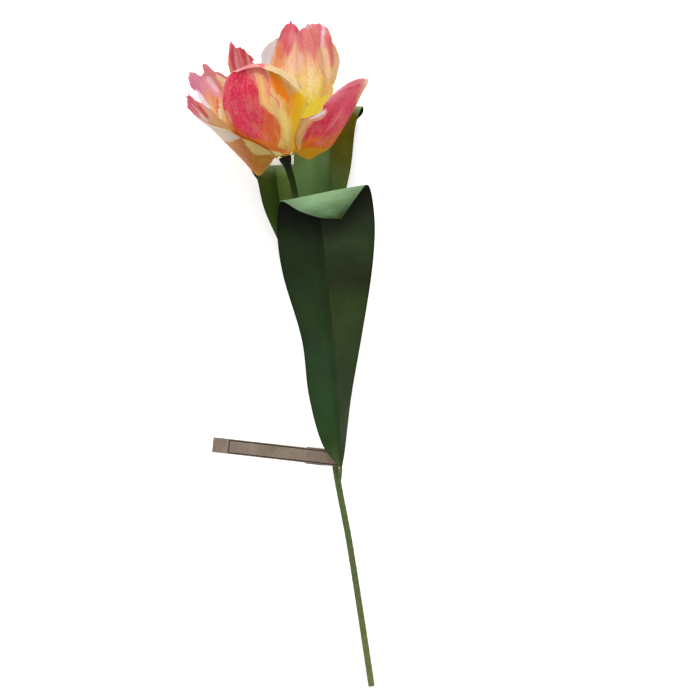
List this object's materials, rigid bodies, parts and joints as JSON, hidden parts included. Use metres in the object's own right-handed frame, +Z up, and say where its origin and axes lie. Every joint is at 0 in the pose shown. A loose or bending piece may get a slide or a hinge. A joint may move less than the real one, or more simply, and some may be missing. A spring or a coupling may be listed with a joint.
{
  "type": "paper parrot tulip",
  "caption": "Single handmade paper tulip with torn, two-tone petals, folded card leaves and a taped wire stem, lying on its back; a bare paper label loops round the stem.",
  "frame": {"origin": "middle of the flower's outline seen from above, on the surface it lies on", "axes": "+Y along the stem towards the bloom, +Z up from the surface, +X to the right as seen from above with the bloom away"},
  "size_m": [0.1846, 0.5761, 0.1051],
  "materials": {
    "petal_paper_pink": "crepe paper, brushed pink and orange over cream, matte",
    "petal_paper_peach": "crepe paper, yellow at the foot to coral pink at the tip, matte",
    "leaf_card": "fine-grained card, dark green outside and mid green inside, matte",
    "stem_tape": "waxed paper tape wound in a spiral, satin",
    "stem_wire": "drawn steel wire",
    "pistil_paper": "wrapped tissue, pale green, matte",
    "stamen_paper": "dusty brown anthers on pale threads, matte",
    "label_kraft": "kraft paper with a thin ruled frame, matte"
  },
  "bodies": {
    "root": {"petal_front": "petal_paper_pink", "petal_right": "petal_paper_pink", "petal_left_low": "petal_paper_pink", "petal_left_high": "petal_paper_pink", "petal_back_left": "petal_paper_pink", "petal_back_right": "petal_paper_peach", "leaf_front": "leaf_card", "leaf_rear_right": "leaf_card", "leaf_rear_left": "leaf_card", "stem_tape": "stem_tape", "stem_wire": "stem_wire", "pistil": "pistil_paper", "stamen_1": "stamen_paper", "stamen_2": "stamen_paper", "stamen_3": "stamen_paper", "stamen_4": "stamen_paper", "stamen_5": "stamen_paper", "stamen_6": "stamen_paper", "label": "label_kraft"}
  },
  "joints": []
}
